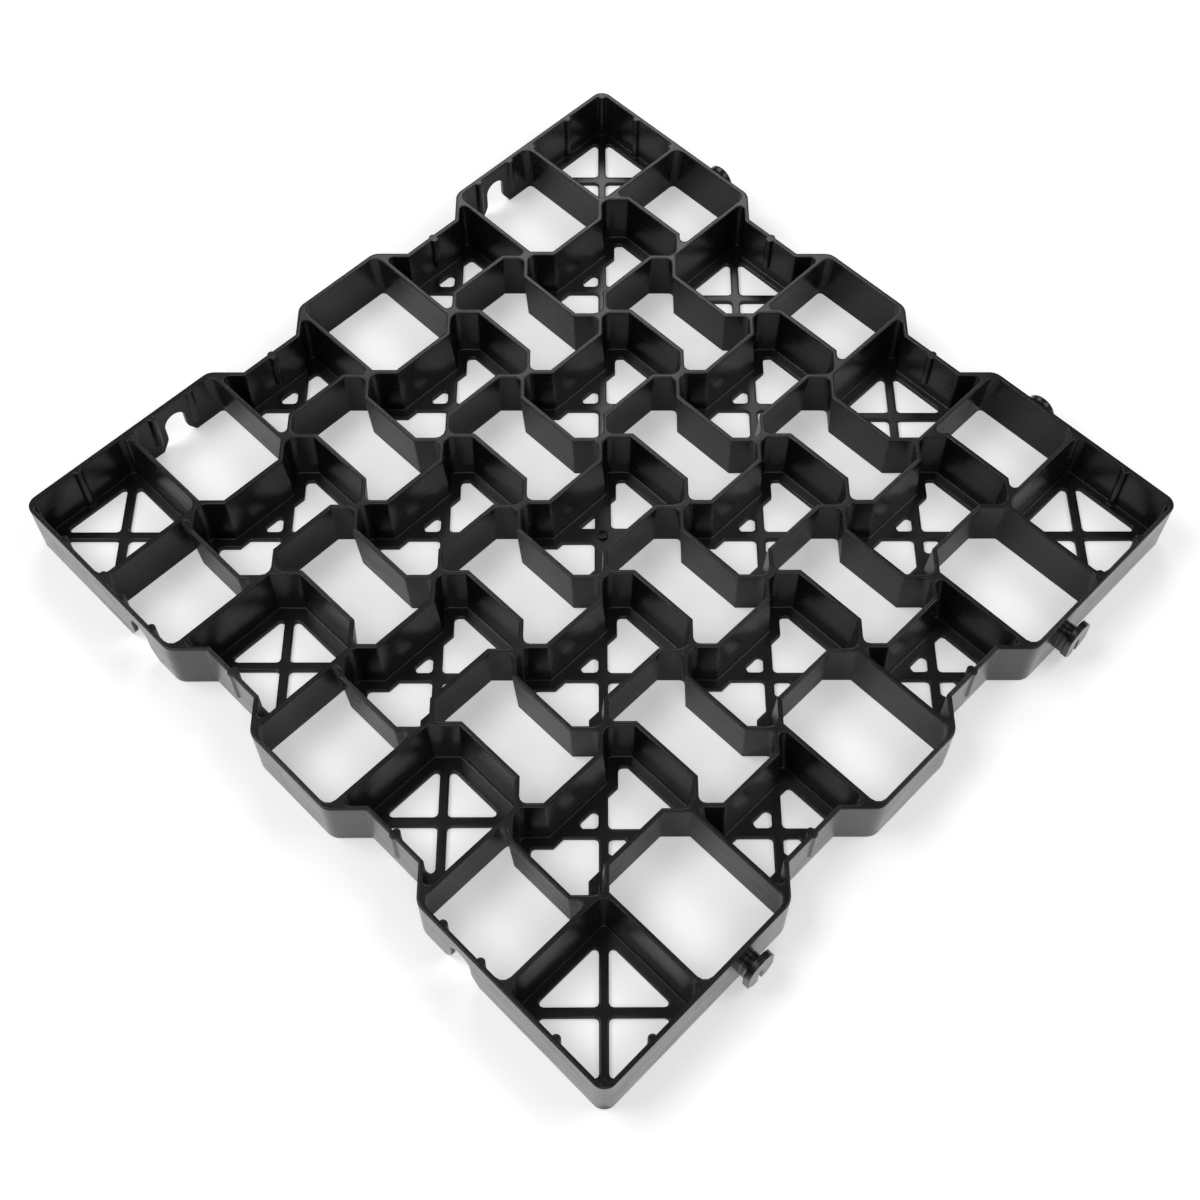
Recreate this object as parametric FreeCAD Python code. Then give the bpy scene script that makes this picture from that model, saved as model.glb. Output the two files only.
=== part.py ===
import FreeCAD, Part
import math
import os

# Grass paver grid, one moulding, in millimetres.
# Origin at the middle of the tile on the ground, X and Y along the sides, Z up.

# Tile and walls
side = 500.0
height = 40.0
cells = 7
border = 4.3
wall = 2.7
outer_round = 8.0

# Walls weave off their grid lines by 45 degree slants.
weave = 12.5
recess = 16.3
recess_lead = 3.3
recess_round = 10.0

# Walls lean into the floored cells at the ground and away from them at the rims, by these offsets.
ground_lean = 0.6
rim_lean = 1.6

# Corners of the cells, at the ground and at the rims
ground_round = 3.0
open_rim_round = 4.0
border_rim_round = 6.0
floored_rim_round = 6.0
acute_round = 3.2
cell_flat_angle = 28.0
rounded_angle = 60.0

# Floors of every second cell, with crossing bars
floor_thickness = 3.0
ledge = 8.5
bar_width = 5.4
hub_bar_width = 10.4
floor_round = 2.4
floor_flat_angle = 52.0
window_half_width = 6.3
window_tip = 4.1
hub_window_depth = 7.0
hub_window_round = 0.4

# Ledges round the floor openings along the border, from the outer wall's face or an inner wall's middle
corner_ledge = 5.9
corner_inner_ledge = 7.7
side_ledge = 4.8
side_inner_ledge = 9.0
end_ledge = 6.1
end_inner_ledge = 7.9
end_side_ledge = 9.2

# Posts on the outer walls
post_radius = 2.6
post_foot = 12.0

# Arched notches in two sides and arched clips on the other two, set off the middle of their cells
clip_shift = 0.6
socket_half_width = 7.7
socket_top = 28.3
socket_lead_width = 5.5
socket_lead_height = 9.0
socket_lead_round = 8.0
guide_spread = 14.6
guide_foot = 10.7
clip_clearance = 2.0
clip_reach = 6.0
clip_bottom = 6.0
head_thickness = 4.0
head_half_width = 10.0
head_top = 33.5
head_shoulder = 12.0
head_foot_half_width = 5.0
slot_half_width = 1.6
slot_top = 20.0

# Cutting tools run past the faces that they open.
overrun = 1.0
tiny = 1e-6

half = side / 2
middle = cells // 2
pitch = (side - 2 * border) / cells
outer_line = half - wall / 2
recess_line = outer_line - recess
inside_face = half - wall
recess_face = recess_line - wall / 2
last_line = (cells / 2 - 1) * pitch
grid_lines = [-outer_line]
for count in range(1, cells):
    grid_lines.append((count - cells / 2) * pitch)
grid_lines.append(outer_line)
clip_offset = (middle - 1) * pitch + clip_shift
clip_places = (-clip_offset, clip_offset)

window_top = pitch / 2 - weave - ledge
hub_window_tip = window_top - hub_window_depth
corner_opening = (inside_face - corner_ledge - last_line - corner_inner_ledge) / 2
corner_centre = inside_face - corner_ledge - corner_opening
corner_post = half - border
side_opening = pitch / 2 - side_inner_ledge
side_centre = recess_face - side_ledge - side_opening
end_opening_width = pitch / 2 - end_side_ledge
end_opening_depth = (recess_face - end_ledge - last_line - weave - end_inner_ledge) / 2
end_centre = recess_face - end_ledge - end_opening_depth

x_axis = FreeCAD.Vector(1, 0, 0)
y_axis = FreeCAD.Vector(0, 1, 0)
z_axis = FreeCAD.Vector(0, 0, 1)
# The walls of a cell run counter clockwise: low Y, high X, high Y, low X.
runs = (x_axis, y_axis, -x_axis, -y_axis)


def is_floored(column, row):
    return (column + row) % 2 == 0


def is_inner(index):
    return 0 < index < cells - 1


def beyond(column, row, index):
    """Column and row of the neighbour on the other side of a wall."""
    out = runs[index - 1]
    return column + int(out.x), row + int(out.y)


def is_outer(column, row, index):
    across, up = beyond(column, row, index)
    return not (0 <= across < cells and 0 <= up < cells)


def is_recessed(column, row, index):
    """Whether the wall is an outer wall that steps in, as it does on floored cells between the corners."""
    along = column if index % 2 == 0 else row
    return is_floored(column, row) and is_inner(along) and is_outer(column, row, index)


def weave_step(column, row, index):
    """Depth by which an inside wall steps into the cell, below zero where it steps away."""
    along = column if index % 2 == 0 else row
    if not is_inner(along):
        return 0.0
    into_floored = weave if index % 2 == 0 else -weave
    return into_floored if is_floored(column, row) else -into_floored


def wall_line(column, row, index):
    """Points on the middle of one wall of a cell, from its first corner to its last."""
    west, east = grid_lines[column], grid_lines[column + 1]
    south, north = grid_lines[row], grid_lines[row + 1]
    corners = [(west, south), (east, south), (east, north), (west, north)]
    start = FreeCAD.Vector(*corners[index])
    end = FreeCAD.Vector(*corners[(index + 1) % 4])
    along = runs[index]
    inward = runs[(index + 1) % 4]
    first, last = (index - 1) % 4, (index + 1) % 4
    if is_recessed(column, row, index):
        inner_start = start + along * (recess - recess_lead) + inward * recess
        inner_end = end - along * (recess - recess_lead) + inward * recess
        return [start + inward * recess_lead, inner_start, inner_end, end + inward * recess_lead]
    step = 0.0 if is_outer(column, row, index) else weave_step(column, row, index)
    if step:
        inner_start = start + along * weave + inward * step
        inner_end = end - along * weave + inward * step
        return [start, inner_start, inner_end, end]
    if is_recessed(column, row, first):
        start = start + along * recess_lead
    if is_recessed(column, row, last):
        end = end - along * recess_lead
    return [start, end]


def cell_line(column, row):
    """Corners of a cell on the middle of its walls, and whether the wall after each corner leans."""
    points = []
    leans = []
    for index in range(4):
        line = wall_line(column, row, index)
        inside = not is_outer(column, row, index)
        if points and points[-1].distanceToPoint(line[0]) < tiny:
            points.pop()
            leans.pop()
        points += line
        leans += [inside] * (len(line) - 1) + [False]
    if points[-1].distanceToPoint(points[0]) < tiny:
        points.pop()
        leans.pop()
    return points, leans


def inset_line(points, distances):
    """Corners of a counter clockwise outline with each edge moved inwards by its own distance."""
    moved = []
    count = len(points)
    for index, here in enumerate(points):
        before = (here - points[index - 1]).normalize()
        after = (points[(index + 1) % count] - here).normalize()
        sine = before.cross(after).z
        moved.append(here + (after * distances[index - 1] - before * distances[index]) / sine)
    return moved


def rounded_line(points, radius, tight_radius, flat_angle):
    """Outline with its corners rounded by short flats, acute ones more tightly and blunt ones not at all."""
    rounded = []
    count = len(points)
    for index, here in enumerate(points):
        before = (here - points[index - 1]).normalize()
        after = (points[(index + 1) % count] - here).normalize()
        turn = math.degrees(before.getAngle(after))
        if turn < rounded_angle:
            rounded.append(here)
            continue
        reach = radius if turn < 2 * rounded_angle else tight_radius
        left = z_axis.cross(before)
        centre = here - before * reach * math.tan(math.radians(turn / 2)) + left * reach
        flats = round(turn / flat_angle)
        for step in range(flats + 1):
            angle = math.radians(turn * step / flats)
            rounded.append(centre + before * reach * math.sin(angle) - left * reach * math.cos(angle))
    return rounded


def cell_outline(column, row, level):
    """Inside of a cell's walls at a height above the ground."""
    share = level / height
    lean = (rim_lean + ground_lean) * share - ground_lean
    rim_round = open_rim_round if is_inner(column) and is_inner(row) else border_rim_round
    if is_floored(column, row):
        rim_round = floored_rim_round
    radius = ground_round + (rim_round - ground_round) * share
    offset = wall / 2 - lean if is_floored(column, row) else wall / 2 + lean
    points, leans = cell_line(column, row)
    distances = [offset if leaning else wall / 2 for leaning in leans]
    return rounded_line(inset_line(points, distances), radius, acute_round, cell_flat_angle)


def face_through(points):
    return Part.Face(Part.makePolygon(points + points[:1]))


def tapered_prism(lower, upper, bottom, top):
    """Solid between two outlines that have the same corners."""
    low = [point + z_axis * bottom for point in lower]
    high = [point + z_axis * top for point in upper]
    faces = [face_through(low), face_through(high)]
    for index in range(len(low)):
        faces.append(face_through([low[index - 1], low[index], high[index], high[index - 1]]))
    return Part.Solid(Part.Shell(faces))


def cell_void(column, row):
    bottom = floor_thickness if is_floored(column, row) else -overrun
    top = height + overrun
    return tapered_prism(cell_outline(column, row, bottom), cell_outline(column, row, top), bottom, top)


def tile_outline():
    """Outside of the tile: one side with its recesses, turned to all four sides."""
    edge = [FreeCAD.Vector(-outer_line, -outer_line)]
    for column in range(cells):
        if is_recessed(column, 0, 0):
            start, inner_start, inner_end, end = wall_line(column, 0, 0)
            edge += [start - (x_axis + y_axis) * recess_lead, inner_start]
            edge += [inner_end, end + (x_axis - y_axis) * recess_lead]
    points = []
    for quarter in range(4):
        turn = FreeCAD.Rotation(z_axis, 90 * quarter)
        points += [turn.multVec(point) for point in edge]
    return inset_line(points, [-wall / 2] * len(points))


def plan(points):
    return [FreeCAD.Vector(x, y, 0) for x, y in points]


def mirrored(points, flip_x, flip_y):
    """Points mirrored about the middle, still counter clockwise."""
    flipped = [(-x if flip_x else x, -y if flip_y else y) for x, y in points]
    if flip_x != flip_y:
        flipped.reverse()
    return flipped


def crossed_square(opening):
    """Four triangles left open in a square by two crossing bars."""
    tip = bar_width / math.sqrt(2)
    upper = [(0, tip), (opening - tip, opening), (tip - opening, opening)]
    right = [(y, -x) for x, y in upper]
    lower = [(-x, -y) for x, y in upper]
    left = [(-y, x) for x, y in upper]
    return [upper, right, lower, left]


def window_outline(tip, top):
    """Small opening between the bars, pointed towards the crossing."""
    shoulder = tip + window_half_width
    if shoulder > top - floor_round:
        return [(0, tip), (top - tip, top), (tip - top, top)]
    right = [(window_half_width, shoulder), (window_half_width, top)]
    left = [(-window_half_width, top), (-window_half_width, shoulder)]
    return [(0, tip)] + right + left


def inner_openings(width, tip):
    """Openings in the floor of a cell inside the weave, about the cell's middle."""
    bar_tip = width / math.sqrt(2)
    across = pitch / 2 + weave - ledge
    slant = ledge * math.sqrt(2)
    upper_half = [(across, pitch - slant - across), (pitch / 2, pitch / 2 - slant)]
    upper_half += [(window_top + slant, window_top), (window_top + bar_tip, window_top)]
    lower_half = [(x, -y) for x, y in reversed(upper_half)]
    right = [(bar_tip, 0)] + lower_half + upper_half
    window = window_outline(tip, window_top)
    return [right, mirrored(right, True, False), window, mirrored(window, False, True)]


def end_openings():
    """Openings in the floor of a cell in the first or last row."""
    tip = bar_width / math.sqrt(2)
    reach = end_opening_depth + tip
    right = [(tip, 0), (reach, -end_opening_depth), (end_opening_width, -end_opening_depth)]
    right += [(end_opening_width, end_opening_depth), (reach, end_opening_depth)]
    window = window_outline(window_tip, end_opening_depth)
    return [right, mirrored(right, True, False), window, mirrored(window, False, True)]


def floor_voids(column, row):
    """Cutting tools for all openings in the floor of one cell."""
    across = math.copysign(1, column - middle)
    up = math.copysign(1, row - middle)
    centre = FreeCAD.Vector((column - middle) * pitch, (row - middle) * pitch, -overrun)
    rounds = [floor_round] * 4
    if not is_inner(column) and not is_inner(row):
        outlines = crossed_square(corner_opening)
        centre = FreeCAD.Vector(across * corner_centre, up * corner_centre, -overrun)
    elif not is_inner(column):
        outlines = crossed_square(side_opening)
        centre.x = across * side_centre
    elif not is_inner(row):
        outlines = end_openings()
        centre.y = up * end_centre
    elif column == middle and row == middle:
        outlines = inner_openings(hub_bar_width, hub_window_tip)
        rounds[2:] = [hub_window_round, hub_window_round]
    else:
        outlines = inner_openings(bar_width, window_tip)
    voids = []
    for outline, radius in zip(outlines, rounds):
        points = rounded_line(plan(outline), radius, radius, floor_flat_angle)
        opening = face_through([point + centre for point in points])
        voids.append(opening.extrude(z_axis * (floor_thickness + 2 * overrun)))
    return voids


def rounded_edges(shape, axis, radius, chosen):
    """Rounds the edges along an axis whose middle point passes a test."""
    edges = []
    for edge in shape.Edges:
        run = edge.lastVertex().Point - edge.firstVertex().Point
        if run.cross(axis).Length < tiny and chosen(edge.CenterOfMass):
            edges.append(edge)
    return shape.makeFillet(radius, edges)


def wall_prism(points, near, far):
    """Prism on an outline drawn in the XZ plane, running along Y."""
    return face_through([FreeCAD.Vector(x, near, z) for x, z in points]).extrude(y_axis * (far - near))


def arch_form(place, foot, shoulder, crown, near, far):
    """Prism along Y with a half round top, upright sides, and slanted ones from the shoulder to the foot.
    Foot and crown are pairs of a half width and a height above the ground."""
    foot_half_width, bottom = foot
    half_width, top = crown
    foot_low, foot_high = place - foot_half_width, place + foot_half_width
    low, high = place - half_width, place + half_width
    spring = top - half_width
    outline = [(foot_low, bottom), (foot_high, bottom), (high, shoulder), (high, spring)]
    outline += [(low, spring), (low, shoulder)]
    barrel = Part.makeCylinder(half_width, far - near, FreeCAD.Vector(place, near, spring), y_axis)
    return wall_prism(outline, near, far).fuse(barrel).removeSplitter()


def socket_cut(place):
    """Tool that opens the high Y wall for a neighbour's clip, with a lead-in at the ground."""
    slope = socket_lead_width / socket_lead_height
    foot = (socket_half_width + slope * (socket_lead_height + overrun), -overrun)
    crown = (socket_half_width, socket_top)
    arch = arch_form(place, foot, socket_lead_height, crown, inside_face - post_radius, half + overrun)
    return rounded_edges(arch, y_axis, socket_lead_round, lambda at: abs(at.z - socket_lead_height) < tiny)


def clip(place):
    """Stem and slotted head on the low Y wall."""
    back = -half - clip_reach
    front = back - head_thickness
    stem_half_width = socket_half_width - clip_clearance
    stem_foot = (stem_half_width, clip_bottom)
    stem_crown = (stem_half_width, socket_top - clip_clearance)
    stem = arch_form(place, stem_foot, head_shoulder, stem_crown, back, -half + wall / 2)
    head_foot = (head_foot_half_width, clip_bottom)
    head_crown = (head_half_width, head_top)
    head = arch_form(place, head_foot, head_shoulder, head_crown, front, back)
    slot_left, slot_right = place - slot_half_width, place + slot_half_width
    slot = [(slot_left, 0), (slot_right, 0), (slot_right, slot_top), (slot_left, slot_top)]
    return stem.fuse(head.cut(wall_prism(slot, front - overrun, back)))


def post(x, y, foot):
    return Part.makeCylinder(post_radius, height - foot, FreeCAD.Vector(x, y, foot))


def quarter_turn(shape):
    turned = shape.copy()
    turned.rotate(FreeCAD.Vector(0, 0, 0), z_axis, 90)
    return turned


def at_tile_corner(at):
    return abs(abs(at.x) - abs(at.y)) < tiny


def at_recess_mouth(at):
    return max(abs(at.x), abs(at.y)) > half - tiny and not at_tile_corner(at)


slab = face_through(tile_outline()).extrude(z_axis * height)
slab = rounded_edges(slab, z_axis, recess_round, at_recess_mouth)
slab = rounded_edges(slab, z_axis, outer_round, at_tile_corner)

voids = []
for column in range(cells):
    for row in range(cells):
        voids.append(cell_void(column, row))
        if is_floored(column, row):
            voids += floor_voids(column, row)
tile = slab.cut(voids)

posts = []
for x in (-1, 1):
    for y in (-1, 1):
        posts.append(post(x * pitch, y * recess_line, post_foot))
        posts.append(post(x * recess_line, y * pitch, post_foot))
        posts.append(post(x * corner_post, y * corner_post, 0.0))
        posts.append(post(x * corner_centre, y * inside_face, 0.0))
        posts.append(post(x * inside_face, y * corner_centre, 0.0))
clips = []
sockets = []
for place in clip_places:
    for spread in (-guide_spread, guide_spread):
        guide = post(place + spread, inside_face, guide_foot)
        posts += [guide, quarter_turn(guide)]
    clips += [clip(place), quarter_turn(clip(place))]
    sockets += [socket_cut(place), quarter_turn(socket_cut(place))]
tile = tile.fuse(posts).cut(sockets).fuse(clips).removeSplitter()

os.makedirs("parts", exist_ok=True)
tile.exportStep("parts/paver_grid.step")
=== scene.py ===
import math

import bmesh
import bpy
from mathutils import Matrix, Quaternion, Vector


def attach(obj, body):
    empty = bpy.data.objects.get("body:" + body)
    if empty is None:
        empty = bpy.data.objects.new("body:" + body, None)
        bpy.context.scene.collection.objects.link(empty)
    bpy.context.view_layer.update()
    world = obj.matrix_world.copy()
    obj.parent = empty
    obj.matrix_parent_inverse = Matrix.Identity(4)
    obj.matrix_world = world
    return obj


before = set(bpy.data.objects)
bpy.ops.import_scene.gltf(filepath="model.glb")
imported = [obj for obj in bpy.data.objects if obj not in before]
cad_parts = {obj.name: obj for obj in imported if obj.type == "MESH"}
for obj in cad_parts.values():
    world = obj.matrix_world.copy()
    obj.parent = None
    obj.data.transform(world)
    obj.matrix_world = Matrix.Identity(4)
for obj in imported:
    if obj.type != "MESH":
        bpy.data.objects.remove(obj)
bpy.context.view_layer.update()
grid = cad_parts["paver_grid"]
scene = bpy.context.scene
MM = 0.001
WHITE = (1, 1, 1, 1)

# Distance between the middles of neighbouring cells
PITCH = 70.2 * MM

# Rounded look of the edges, and of the creases where the walls turn by 45 degrees
EDGE_ROUND = 1.8 * MM
SMALL_EDGE_ROUND = 0.3 * MM
EDGE_SAMPLES = 6

# Mark left by the sprue on the middle crossing: radii and heights in millimetres
GATE_OUTLINE = (
    (3.4, 2.8), (3.25, 4.7), (3.05, 4.9), (2.75, 4.9), (2.55, 4.6),
    (2.4, 3.15), (0.9, 3.1), (0.7, 3.8), (0.0, 3.9),
)
GATE_TURNS = 40

# Small round bosses at the ends and crossings of the walls round the corner cells,
# on the corner posts and in the recesses of the border
BOSS_OUTLINE = (
    (0.0, 12.0), (2.3, 12.0), (2.5, 12.3), (2.5, 39.8), (2.2, 40.1), (0.0, 40.1),
)
BOSS_TURNS = 28
BOSS_INNER = 175.5 * MM
BOSS_OUTER = 245.5 * MM
BOSS_RECESS = 230.6 * MM
MERGE_DISTANCE = 0.001 * MM

# Plastic
PLASTIC = (0.002, 0.002, 0.0022, 1)
# Paler colour for the random mottling and for the painted highlight along edges
PLASTIC_MOTTLE_AND_HIGHLIGHT = (0.012, 0.012, 0.0126, 1)
GLOSS = 0.43
# Strength of the painted highlight along edges and creases
PAINTED_EDGE_HIGHLIGHT = 4.0
MOTTLE_WEAR = 0.6
MOTTLE_SCALE = 45.0
MOTTLE_DETAIL = 4.0
MOTTLE_ROUGHNESS = 0.6
GRAIN_SCALE = 2600.0
GRAIN_DETAIL = 2.0
GRAIN_DEPTH = 0.05 * MM
GRAIN_STRENGTH = 0.15
FLOW_SCALE = (20.0, 20.0, 220.0)
FLOW_DETAIL = 3.0
FLOW_DEPTH = 0.04 * MM
FLOW_STRENGTH = 1.0

# Range of mottle times flow, and the roughness at its two ends
BLEND_LOW, BLEND_HIGH = 0.1, 0.45
ROUGH_LOW, ROUGH_HIGH = 0.20, 0.32

# Colour sockets of a mix node, whose names are shared with its other sockets
MIX_FIRST, MIX_SECOND, MIX_RESULT = 6, 7, 2

# Floor; reflections see it as white outside the outline of the tile and its recesses, where it
# glows with painted light for reflected rays
FLOOR_SIDE = 8.0
FLOOR_COLOUR = (0.80, 0.80, 0.80, 1)
FLOOR_LIFT = 0.35
# Strength of the painted glow that reflections see outside the tile's outline
FLOOR_PAINTED_GLOW = 0.50
TILE_REACH = 250 * MM
RECESS_DEPTH = 16.3 * MM
RECESS_HALF_LENGTH = 42 * MM
RECESS_SLANT = 20.5 * MM

# Light: strength of the room, then place and power of each lamp
ROOM = 0.18
LAMP_SIDE = 1.2
LAMPS = {
    "left light": ((-0.9, 0.9, 2.2), 25),
    "right light": ((1.1, -1.1, 1.9), 14),
    "front light": ((-1.1, -1.1, 1.6), 12),
    "back light": ((1.55, 1.55, 2.1), 16),
}

# Camera, as in the photo
EYE = Vector((-0.42062, -0.41608, 0.96874))
FORWARD = Vector((0.39517, 0.38222, -0.83531))
ROLL = math.radians(0.756)
LENS = 53.98
SENSOR = 36
SHIFT = (-0.01178, -0.10226)


def node(tree, kind, **values):
    """Adds a shader node and sets its properties and inputs by name."""
    made = tree.nodes.new(kind)
    for name, value in values.items():
        if name in made.inputs:
            made.inputs[name].default_value = value
        else:
            setattr(made, name, value)
    return made


def link(tree, source, target):
    """Joins an output to an input."""
    tree.links.new(source, target)


def maths(tree, operation, *values):
    """Math node on sockets or numbers; gives its output."""
    made = node(tree, "ShaderNodeMath", operation=operation)
    for socket, value in zip(made.inputs, values):
        if isinstance(value, (int, float)):
            socket.default_value = value
        else:
            link(tree, value, socket)
    return made.outputs["Value"]


def plastic_material(name, edge_round):
    """Black satin plastic with faint mottling, flow marks, grain and a painted highlight that
    makes the edges paler.
    """
    material = bpy.data.materials.new(name)
    material.use_nodes = True
    tree = material.node_tree
    shader = tree.nodes["Principled BSDF"]
    shader.inputs["Specular IOR Level"].default_value = GLOSS
    place = node(tree, "ShaderNodeTexCoord")
    mottle = node(
        tree, "ShaderNodeTexNoise",
        Scale=MOTTLE_SCALE, Detail=MOTTLE_DETAIL, Roughness=MOTTLE_ROUGHNESS,
    )
    grain = node(tree, "ShaderNodeTexNoise", Scale=GRAIN_SCALE, Detail=GRAIN_DETAIL)
    stretch = node(tree, "ShaderNodeMapping", Scale=FLOW_SCALE)
    flow = node(tree, "ShaderNodeTexNoise", Scale=1.0, Detail=FLOW_DETAIL)
    for texture in (mottle, grain, stretch):
        link(tree, place.outputs["Object"], texture.inputs["Vector"])
    link(tree, stretch.outputs["Vector"], flow.inputs["Vector"])
    mottling = mottle.outputs["Fac"]
    flowing = flow.outputs["Fac"]

    # Painted highlight: paler where the rounded normal turns away from the face, along edges
    # and creases; also paler at random in the mottling
    edges = node(tree, "ShaderNodeBevel", samples=EDGE_SAMPLES, Radius=edge_round)
    surface = node(tree, "ShaderNodeNewGeometry")
    level = node(tree, "ShaderNodeVectorMath", operation="DOT_PRODUCT")
    link(tree, edges.outputs["Normal"], level.inputs[0])
    link(tree, surface.outputs["Normal"], level.inputs[1])
    turned = maths(tree, "SUBTRACT", 1.0, level.outputs["Value"])
    painted_edge_highlight = maths(tree, "MULTIPLY", maths(tree, "MULTIPLY", turned, PAINTED_EDGE_HIGHLIGHT), mottling)
    clouded = maths(tree, "MULTIPLY", mottling, MOTTLE_WEAR)
    mottle_and_painted_highlight = maths(tree, "MINIMUM", maths(tree, "ADD", painted_edge_highlight, clouded), 1.0)

    colour = node(tree, "ShaderNodeMix", data_type="RGBA")
    colour.inputs[MIX_FIRST].default_value = PLASTIC
    colour.inputs[MIX_SECOND].default_value = PLASTIC_MOTTLE_AND_HIGHLIGHT
    link(tree, mottle_and_painted_highlight, colour.inputs["Factor"])
    link(tree, colour.outputs[MIX_RESULT], shader.inputs["Base Color"])

    roughness = node(tree, "ShaderNodeMapRange")
    roughness.inputs["From Min"].default_value = BLEND_LOW
    roughness.inputs["From Max"].default_value = BLEND_HIGH
    roughness.inputs["To Min"].default_value = ROUGH_LOW
    roughness.inputs["To Max"].default_value = ROUGH_HIGH
    link(tree, maths(tree, "MULTIPLY", mottling, flowing), roughness.inputs["Value"])
    link(tree, roughness.outputs["Result"], shader.inputs["Roughness"])

    waves = node(tree, "ShaderNodeBump", Strength=FLOW_STRENGTH, Distance=FLOW_DEPTH)
    bump = node(tree, "ShaderNodeBump", Strength=GRAIN_STRENGTH, Distance=GRAIN_DEPTH)
    link(tree, edges.outputs["Normal"], waves.inputs["Normal"])
    link(tree, flowing, waves.inputs["Height"])
    link(tree, grain.outputs["Fac"], bump.inputs["Height"])
    link(tree, waves.outputs["Normal"], bump.inputs["Normal"])
    link(tree, bump.outputs["Normal"], shader.inputs["Normal"])
    return material


def floor_material():
    """White floor that keeps the shadow, lifted to white for the camera, with a painted glow
    outside the tile's outline for reflections.
    """
    material = bpy.data.materials.new("white floor")
    material.use_nodes = True
    material.cycles.emission_sampling = "NONE"
    tree = material.node_tree
    tree.nodes.remove(tree.nodes["Principled BSDF"])
    output = tree.nodes["Material Output"]
    diffuse = node(tree, "ShaderNodeBsdfDiffuse", Color=FLOOR_COLOUR)
    ray = node(tree, "ShaderNodeLightPath")
    place = node(tree, "ShaderNodeTexCoord")
    axes = node(tree, "ShaderNodeSeparateXYZ")
    link(tree, place.outputs["Object"], axes.inputs["Vector"])

    # Outline of the tile, which is the same on all four sides and about the diagonals
    from_x = maths(tree, "ABSOLUTE", axes.outputs["X"])
    from_y = maths(tree, "ABSOLUTE", axes.outputs["Y"])
    along = maths(tree, "SUBTRACT", maths(tree, "MINIMUM", from_x, from_y), PITCH)
    within = maths(tree, "SUBTRACT", RECESS_HALF_LENGTH, maths(tree, "ABSOLUTE", along))
    slant = maths(tree, "MULTIPLY", within, RECESS_DEPTH / RECESS_SLANT)
    recessed = maths(tree, "MINIMUM", maths(tree, "MAXIMUM", slant, 0.0), RECESS_DEPTH)
    border = maths(tree, "SUBTRACT", TILE_REACH, recessed)
    outside = maths(tree, "GREATER_THAN", maths(tree, "MAXIMUM", from_x, from_y), border)

    glossy, through = ray.outputs["Is Glossy Ray"], ray.outputs["Is Transmission Ray"]
    bounced = maths(tree, "MAXIMUM", glossy, through)
    # Painted glow: for reflected rays the floor shines brighter outside the tile's outline
    painted_glow = maths(tree, "MULTIPLY", outside, FLOOR_PAINTED_GLOW)
    reflected_painted_glow = maths(tree, "MULTIPLY", bounced, painted_glow)
    seen = maths(tree, "MULTIPLY", ray.outputs["Is Camera Ray"], FLOOR_LIFT)
    glow = node(tree, "ShaderNodeEmission")
    link(tree, maths(tree, "ADD", seen, reflected_painted_glow), glow.inputs["Strength"])
    both = node(tree, "ShaderNodeAddShader")
    link(tree, diffuse.outputs["BSDF"], both.inputs[0])
    link(tree, glow.outputs["Emission"], both.inputs[1])
    link(tree, both.outputs["Shader"], output.inputs["Surface"])
    return material


def turned_piece(name, outline, turns, places, material):
    """Piece turned about a vertical at each place, from radii and heights in millimetres."""
    shape = bmesh.new()
    for across, along in places:
        points = [
            shape.verts.new((across + radius * MM, along, level * MM))
            for radius, level in outline
        ]
        edges = [shape.edges.new(pair) for pair in zip(points, points[1:])]
        bmesh.ops.spin(
            shape, geom=points + edges, cent=(across, along, 0), axis=(0, 0, 1),
            angle=math.tau, steps=turns,
        )
    bmesh.ops.remove_doubles(shape, verts=shape.verts, dist=MERGE_DISTANCE)
    bmesh.ops.recalc_face_normals(shape, faces=shape.faces)
    mesh = bpy.data.meshes.new(name)
    shape.to_mesh(mesh)
    shape.free()
    mesh.materials.append(material)
    piece = bpy.data.objects.new(name, mesh)
    scene.collection.objects.link(piece)
    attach(piece, "root")


def area_light(name, place, power):
    """Soft square lamp that points at the middle of the tile."""
    lamp = bpy.data.lights.new(name, "AREA")
    lamp.shape = "SQUARE"
    lamp.size = LAMP_SIDE
    lamp.energy = power
    holder = bpy.data.objects.new(name, lamp)
    holder.location = place
    holder.rotation_euler = (-Vector(place)).to_track_quat("-Z", "Y").to_euler()
    scene.collection.objects.link(holder)


plastic = plastic_material("black moulded plastic", EDGE_ROUND)
small_plastic = plastic_material("black moulded plastic, small pieces", SMALL_EDGE_ROUND)
grid.data.materials.clear()
grid.data.materials.append(plastic)
turned_piece("gate_mark", GATE_OUTLINE, GATE_TURNS, [(0, 0)], small_plastic)
lines = [sign * reach for sign in (-1, 1) for reach in (BOSS_INNER, BOSS_OUTER)]
bosses = [(across, along) for across in lines for along in lines]
for across in (-BOSS_RECESS, BOSS_RECESS):
    for along in (-PITCH, PITCH):
        bosses += [(across, along), (along, across)]
turned_piece("rim_bosses", BOSS_OUTLINE, BOSS_TURNS, bosses, small_plastic)

bpy.ops.mesh.primitive_plane_add(size=FLOOR_SIDE)
floor = bpy.context.object
floor.name = "floor"
floor.data.materials.append(floor_material())

world = bpy.data.worlds.new("white room")
scene.world = world
world.use_nodes = True
background = world.node_tree.nodes["Background"]
background.inputs["Color"].default_value = WHITE
background.inputs["Strength"].default_value = ROOM
for name, (place, power) in LAMPS.items():
    area_light(name, place, power)

camera = bpy.data.objects.new("camera", bpy.data.cameras.new("camera"))
scene.collection.objects.link(camera)
camera.location = EYE
camera.rotation_mode = "QUATERNION"
camera.rotation_quaternion = FORWARD.to_track_quat("-Z", "Y") @ Quaternion((0, 0, 1), ROLL)
camera.data.sensor_width = SENSOR
camera.data.lens = LENS
camera.data.shift_x, camera.data.shift_y = SHIFT
scene.camera = camera
scene.view_settings.view_transform = "Standard"
